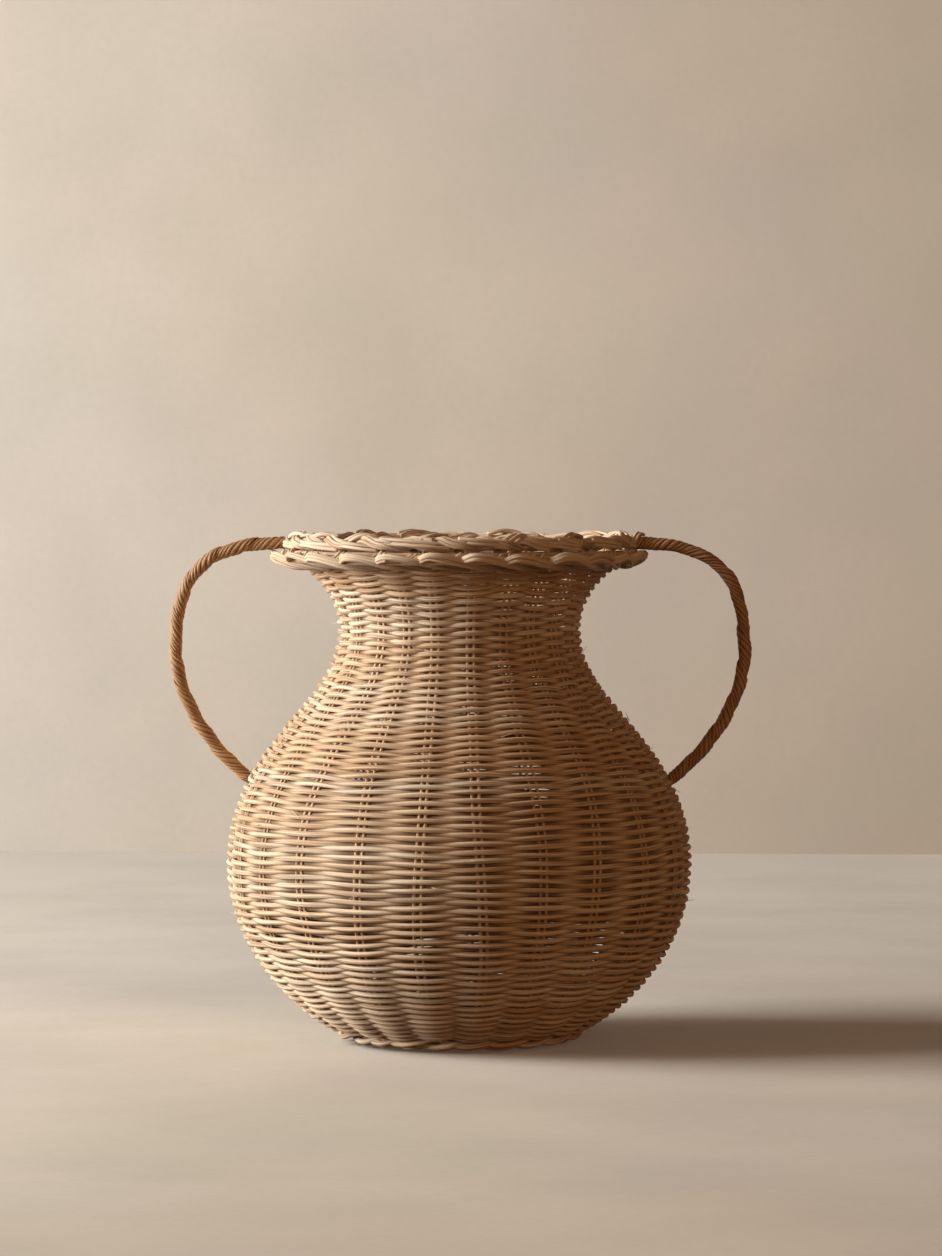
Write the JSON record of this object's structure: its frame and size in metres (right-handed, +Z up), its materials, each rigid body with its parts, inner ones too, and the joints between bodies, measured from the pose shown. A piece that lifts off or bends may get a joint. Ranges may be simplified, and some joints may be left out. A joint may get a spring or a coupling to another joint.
{
  "type": "rattan vase",
  "caption": "Round-bellied woven rattan vase with a narrow neck, a flared plaited rim and two wrapped loop handles; it holds dried stems or a liner.",
  "frame": {"origin": "middle of the foot, on the floor that the vase stands on", "axes": "+Z up along the vase's axis, +X towards the right handle, front towards -Y"},
  "size_m": [0.3206, 0.2546, 0.281],
  "materials": {
    "stakes": "bare round cane, matt",
    "weave": "bare round cane, matt with a faint sheen",
    "border": "bare round cane, matt with a faint sheen",
    "handle_core": "brown cane, matt",
    "handle_wrap": "brown crinkled strip, satin"
  },
  "bodies": {
    "root": {"stake_pair_01": "stakes", "stake_pair_02": "stakes", "stake_pair_03": "stakes", "stake_pair_04": "stakes", "stake_pair_05": "stakes", "stake_pair_06": "stakes", "stake_pair_07": "stakes", "stake_pair_08": "stakes", "stake_pair_09": "stakes", "stake_pair_10": "stakes", "stake_pair_11": "stakes", "stake_pair_12": "stakes", "base_weave_outside": "weave", "base_weave_inside": "weave", "upsett_wale": "weave", "lower_weave": "weave", "belly_weave": "weave", "shoulder_weave": "weave", "neck_weave": "weave", "flare_weave": "weave", "lower_border": "border", "upper_border": "border", "right_handle_core": "handle_core", "left_handle_core": "handle_core", "right_handle_wrap": "handle_wrap", "left_handle_wrap": "handle_wrap"}
  },
  "joints": []
}
